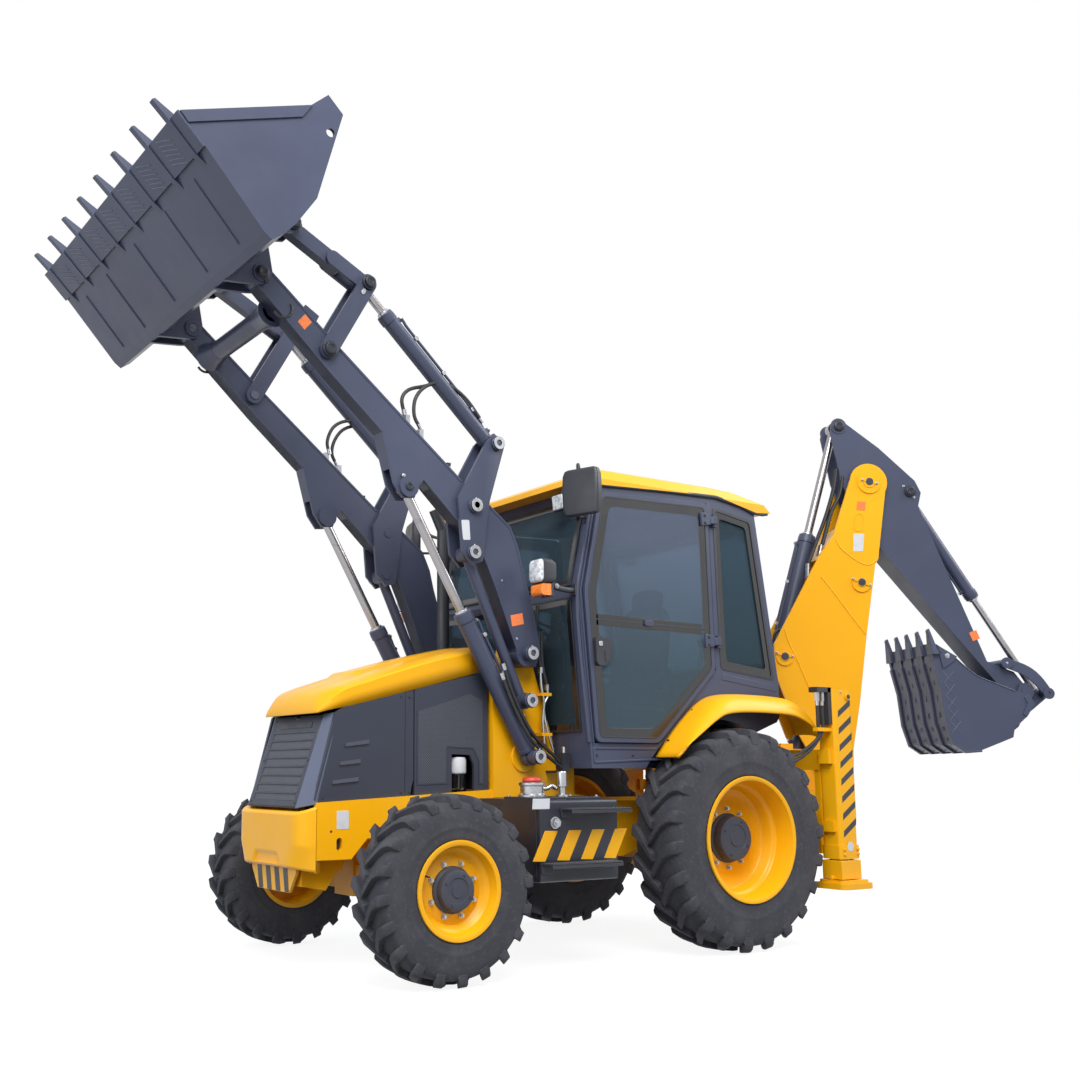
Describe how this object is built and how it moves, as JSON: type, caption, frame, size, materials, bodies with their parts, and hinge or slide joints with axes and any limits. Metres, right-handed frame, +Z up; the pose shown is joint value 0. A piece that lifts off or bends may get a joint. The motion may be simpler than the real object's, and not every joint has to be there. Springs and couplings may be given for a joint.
{
  "type": "backhoe loader",
  "caption": "Wheeled loader-digger: raised front bucket on linked arms, glazed cab, side-shift backhoe folded and swung to the left, stabilizer legs up.",
  "frame": {"origin": "on the ground at the middle of the machine's box as it stands, 0.431 m ahead of the rear axle and 0.096 m left of the machine's lengthwise centre plane", "axes": "+X the way the machine drives, +Y its left, +Z up"},
  "size_m": [6.9666, 2.5178, 4.5325],
  "materials": {
    "yellow_paint": "satin enamel paint on steel, light dust in the corners",
    "slate_paint": "satin slate enamel on steel, worn at the edges",
    "black_parts": "matt black paint and moulded covers",
    "steel_pins": "turned pins with greased ends",
    "polished_rod": "polished hard chrome",
    "tyre_rubber": "matt black rubber, dusty in the tread",
    "tinted_glass": "smooth tinted safety glass"
  },
  "bodies": {
    "root": {"chassis_frame": "yellow_paint", "front_weight": "yellow_paint", "axles": "black_parts", "engine_block": "black_parts", "engine_panels": "black_parts", "exhaust_stack": "black_parts", "cab_frame": "slate_paint", "cab_roof": "yellow_paint", "cab_glass": "tinted_glass", "cab_interior": "black_parts", "rear_fenders": "yellow_paint", "side_tanks": "slate_paint", "mirrors_and_lamps": "black_parts"},
    "hood": {"hood": "yellow_paint"},
    "knuckle_left": {"knuckle_left": "black_parts"},
    "knuckle_right": {"knuckle_right": "black_parts"},
    "door_left": {"door_frame_left": "slate_paint", "door_glass_left": "tinted_glass"},
    "door_right": {"door_frame_right": "slate_paint", "door_glass_right": "tinted_glass"},
    "stabilizer_left": {"stabilizer_leg_left": "yellow_paint"},
    "stabilizer_right": {"stabilizer_leg_right": "yellow_paint"},
    "arms": {"loader_arms": "slate_paint"},
    "levers": {"levers": "slate_paint"},
    "levelling_links": {"levelling_links": "slate_paint"},
    "lift_barrels": {"lift_cylinder_barrel": "slate_paint"},
    "lift_rods": {"lift_cylinder_rod": "polished_rod"},
    "bucket_pins": {"bucket_pins": "steel_pins"},
    "link_pins": {"link_pins": "steel_pins"},
    "tilt_base_pins": {"tilt_base_pins": "steel_pins"},
    "loader_bucket": {"loader_bucket": "slate_paint"},
    "tip_links": {"tip_links": "slate_paint"},
    "bucket_links": {"bucket_links": "slate_paint"},
    "tilt_barrels": {"tilt_cylinder_barrel": "slate_paint"},
    "tilt_rods": {"tilt_cylinder_rod": "polished_rod"},
    "carriage": {"side_shift_carriage": "yellow_paint"},
    "swing_post": {"swing_post": "yellow_paint"},
    "boom": {"boom": "yellow_paint"},
    "boom_cylinder_barrel": {"boom_cylinder_barrel": "slate_paint"},
    "boom_cylinder_rod": {"boom_cylinder_rod": "polished_rod"},
    "dipper": {"dipper": "slate_paint"},
    "dipper_cylinder_barrel": {"dipper_cylinder_barrel": "slate_paint"},
    "dipper_cylinder_rod": {"dipper_cylinder_rod": "polished_rod"},
    "hoe_bucket": {"hoe_bucket": "slate_paint"},
    "hoe_lever_links": {"hoe_lever_links": "slate_paint"},
    "hoe_bucket_link": {"hoe_bucket_link": "slate_paint"},
    "hoe_bucket_cylinder_barrel": {"hoe_bucket_cylinder_barrel": "slate_paint"},
    "hoe_bucket_cylinder_rod": {"hoe_bucket_cylinder_rod": "polished_rod"},
    "wheel_front_left": {"tyre_front_left": "tyre_rubber", "rim_front_left": "yellow_paint"},
    "wheel_front_right": {"tyre_front_right": "tyre_rubber", "rim_front_right": "yellow_paint"},
    "wheel_rear_left": {"tyre_rear_left": "tyre_rubber", "rim_rear_left": "yellow_paint"},
    "wheel_rear_right": {"tyre_rear_right": "tyre_rubber", "rim_rear_right": "yellow_paint"}
  },
  "joints": [
    {"name": "wheel_front_left_spin", "type": "hinge", "parent": "knuckle_left", "child": "wheel_front_left", "pos_m": [1.73328, 0.84812, 0.484], "axis": [0, 1, 0], "continuous": true},
    {"name": "wheel_front_right_spin", "type": "hinge", "parent": "knuckle_right", "child": "wheel_front_right", "pos_m": [1.73328, -1.03188, 0.484], "axis": [0, 1, 0], "continuous": true},
    {"name": "wheel_rear_left_spin", "type": "hinge", "parent": "root", "child": "wheel_rear_left", "pos_m": [-0.43072, 0.76512, 0.673], "axis": [0, 1, 0], "continuous": true},
    {"name": "wheel_rear_right_spin", "type": "hinge", "parent": "root", "child": "wheel_rear_right", "pos_m": [-0.43072, -0.94888, 0.673], "axis": [0, 1, 0], "continuous": true},
    {"name": "steer_left", "type": "hinge", "parent": "root", "child": "knuckle_left", "pos_m": [1.73328, 0.75812, 0.484], "axis": [0, 0, 1], "range_deg": [-35, 35]},
    {"name": "steer_right", "type": "hinge", "parent": "root", "child": "knuckle_right", "pos_m": [1.73328, -0.94188, 0.484], "axis": [0, 0, 1], "range_deg": [-36, 36]},
    {"name": "door_left_hinge", "type": "hinge", "parent": "root", "child": "door_left", "pos_m": [-0.45472, 0.70812, 1.9], "axis": [0, 0, 1], "range_deg": [0, 85]},
    {"name": "door_right_hinge", "type": "hinge", "parent": "root", "child": "door_right", "pos_m": [-0.45472, -0.89188, 1.9], "axis": [0, 0, -1], "range_deg": [0, 85]},
    {"name": "hood_hinge", "type": "hinge", "parent": "root", "child": "hood", "pos_m": [1.13128, -0.09188, 1.79], "axis": [0, -1, 0], "range_deg": [0, 50]},
    {"name": "stabilizer_left_slide", "type": "slide", "parent": "root", "child": "stabilizer_left", "axis": [0, 0, -1], "range_m": [0, 0.34]},
    {"name": "stabilizer_right_slide", "type": "slide", "parent": "root", "child": "stabilizer_right", "axis": [0, 0, -1], "range_m": [0, 0.34]},
    {"name": "lift", "type": "hinge", "parent": "root", "child": "arms", "pos_m": [0.88828, -0.09188, 1.774], "axis": [0, -1, 0], "range_deg": [-84, 0]},
    {"name": "lever_turn", "type": "hinge", "parent": "arms", "child": "levers", "pos_m": [1.28528, -0.09188, 2.624], "axis": [0, -1, 0], "range_deg": [-1, 85]},
    {"name": "levelling_link_turn", "type": "hinge", "parent": "root", "child": "levelling_links", "pos_m": [0.89828, -0.09188, 1.494], "axis": [0, -1, 0], "range_deg": [-85, 1]},
    {"name": "lift_barrel_turn", "type": "hinge", "parent": "root", "child": "lift_barrels", "pos_m": [0.84328, -0.09188, 1.166], "axis": [0, -1, 0], "range_deg": [-66.94, 1]},
    {"name": "lift_rod_slide", "type": "slide", "parent": "lift_barrels", "child": "lift_rods", "axis": [0.5003, 0, 0.8659], "range_m": [-0.6665, 0.005]},
    {"name": "bucket_pin_turn", "type": "hinge", "parent": "arms", "child": "bucket_pins", "pos_m": [2.67428, -0.09188, 3.75], "axis": [0, -1, 0], "range_deg": [-1, 85]},
    {"name": "link_pin_turn", "type": "hinge", "parent": "arms", "child": "link_pins", "pos_m": [2.25528, -0.09188, 3.4], "axis": [0, -1, 0], "range_deg": [-1, 85]},
    {"name": "tilt_base_turn", "type": "hinge", "parent": "levers", "child": "tilt_base_pins", "pos_m": [1.11928, -0.09188, 3.024], "axis": [0, -1, 0], "range_deg": [-89.82, 1]},
    {"name": "tilt", "type": "hinge", "parent": "bucket_pins", "child": "loader_bucket", "pos_m": [2.67428, -0.09188, 3.75], "axis": [0, 1, 0], "range_deg": [0, 85]},
    {"name": "tip_link_turn", "type": "hinge", "parent": "link_pins", "child": "tip_links", "pos_m": [2.25528, -0.09188, 3.4], "axis": [0, 1, 0], "range_deg": [-1, 59.53]},
    {"name": "bucket_link_turn", "type": "hinge", "parent": "tip_links", "child": "bucket_links", "pos_m": [2.00928, -0.09188, 3.842], "axis": [0, 1, 0], "range_deg": [-49.27, 1]},
    {"name": "tilt_barrel_turn", "type": "hinge", "parent": "tilt_base_pins", "child": "tilt_barrels", "pos_m": [1.11928, -0.09188, 3.024], "axis": [0, 1, 0], "range_deg": [-1, 11.85]},
    {"name": "tilt_rod_slide", "type": "slide", "parent": "tilt_barrels", "child": "tilt_rods", "axis": [0.7363, 0, 0.6767], "range_m": [-0.005, 0.4371]},
    {"name": "side_shift", "type": "slide", "parent": "root", "child": "carriage", "axis": [0, 1, 0], "range_m": [-0.8, 0.28]},
    {"name": "slew", "type": "hinge", "parent": "carriage", "child": "swing_post", "pos_m": [-1.83072, 0.15812, 0.74], "axis": [0, 0, 1], "range_deg": [-60, 120]},
    {"name": "boom_swing", "type": "hinge", "parent": "swing_post", "child": "boom", "pos_m": [-2.00393, 0.25812, 0.78], "axis": [-0.5, -0.866, 0], "range_deg": [0, 62]},
    {"name": "boom_barrel_turn", "type": "hinge", "parent": "swing_post", "child": "boom_cylinder_barrel", "pos_m": [-1.77876, 0.12812, 1.19], "axis": [-0.5, -0.866, 0], "range_deg": [-1, 65.9]},
    {"name": "boom_rod_slide", "type": "slide", "parent": "boom_cylinder_barrel", "child": "boom_cylinder_rod", "axis": [-0.3182, 0.1837, 0.93], "range_m": [-0.005, 0.4986]},
    {"name": "dipper_swing", "type": "hinge", "parent": "boom", "child": "dipper", "pos_m": [-2.29404, 0.42562, 3.205], "axis": [0.5, 0.866, 0], "range_deg": [0, 100]},
    {"name": "dipper_barrel_turn", "type": "hinge", "parent": "boom", "child": "dipper_cylinder_barrel", "pos_m": [-1.69302, 0.07862, 1.901], "axis": [0.5, 0.866, 0], "range_deg": [-1, 6.95]},
    {"name": "dipper_rod_slide", "type": "slide", "parent": "dipper_cylinder_barrel", "child": "dipper_cylinder_rod", "axis": [-0.2413, 0.1393, 0.9604], "range_m": [-0.7279, 0.005]},
    {"name": "hoe_bucket_swing", "type": "hinge", "parent": "dipper", "child": "hoe_bucket", "pos_m": [-3.24234, 0.97312, 1.66], "axis": [0.5, 0.866, 0], "range_deg": [0, 150]},
    {"name": "hoe_lever_turn", "type": "hinge", "parent": "dipper", "child": "hoe_lever_links", "pos_m": [-3.11244, 0.89812, 1.86], "axis": [0.5, 0.866, 0], "range_deg": [-1, 79.2]},
    {"name": "hoe_link_turn", "type": "hinge", "parent": "hoe_lever_links", "child": "hoe_bucket_link", "pos_m": [-3.37225, 1.04812, 1.64], "axis": [0.5, 0.866, 0], "range_deg": [-1, 2.09]},
    {"name": "hoe_barrel_turn", "type": "hinge", "parent": "dipper", "child": "hoe_bucket_cylinder_barrel", "pos_m": [-2.57723, 0.58912, 3.148], "axis": [0.5, 0.866, 0], "range_deg": [-1, 11.6]},
    {"name": "hoe_rod_slide", "type": "slide", "parent": "hoe_bucket_cylinder_barrel", "child": "hoe_bucket_cylinder_rod", "axis": [-0.4503, 0.26, -0.8542], "range_m": [-0.34, 0.005]}
  ],
  "couplings": [
    {"joint": "steer_right", "follows": "steer_left", "ratio": 1},
    {"joint": "lever_turn", "follows": "lift", "ratio": -1},
    {"joint": "levelling_link_turn", "follows": "lift", "ratio": 1},
    {"joint": "lift_barrel_turn", "follows": "lift", "ratio": 0.785},
    {"joint": "lift_rod_slide", "follows": "lift", "m_per_rad": 0.45117},
    {"joint": "bucket_pin_turn", "follows": "lift", "ratio": -1},
    {"joint": "link_pin_turn", "follows": "lift", "ratio": -1},
    {"joint": "tilt_base_turn", "follows": "lift", "ratio": 1.0574},
    {"joint": "tip_link_turn", "follows": "tilt", "ratio": 0.68858},
    {"joint": "bucket_link_turn", "follows": "tilt", "ratio": -0.56793},
    {"joint": "tilt_barrel_turn", "follows": "tilt", "ratio": 0.12765},
    {"joint": "tilt_rod_slide", "follows": "tilt", "m_per_rad": 0.29123},
    {"joint": "boom_barrel_turn", "follows": "boom_swing", "ratio": 1.0468},
    {"joint": "boom_rod_slide", "follows": "boom_swing", "m_per_rad": 0.45612},
    {"joint": "dipper_barrel_turn", "follows": "dipper_swing", "ratio": 0.059472},
    {"joint": "dipper_rod_slide", "follows": "dipper_swing", "m_per_rad": -0.41418},
    {"joint": "hoe_lever_turn", "follows": "hoe_bucket_swing", "ratio": 0.52131},
    {"joint": "hoe_link_turn", "follows": "hoe_bucket_swing", "ratio": 0.007284},
    {"joint": "hoe_barrel_turn", "follows": "hoe_bucket_swing", "ratio": 0.070692},
    {"joint": "hoe_rod_slide", "follows": "hoe_bucket_swing", "m_per_rad": -0.12797}
  ]
}
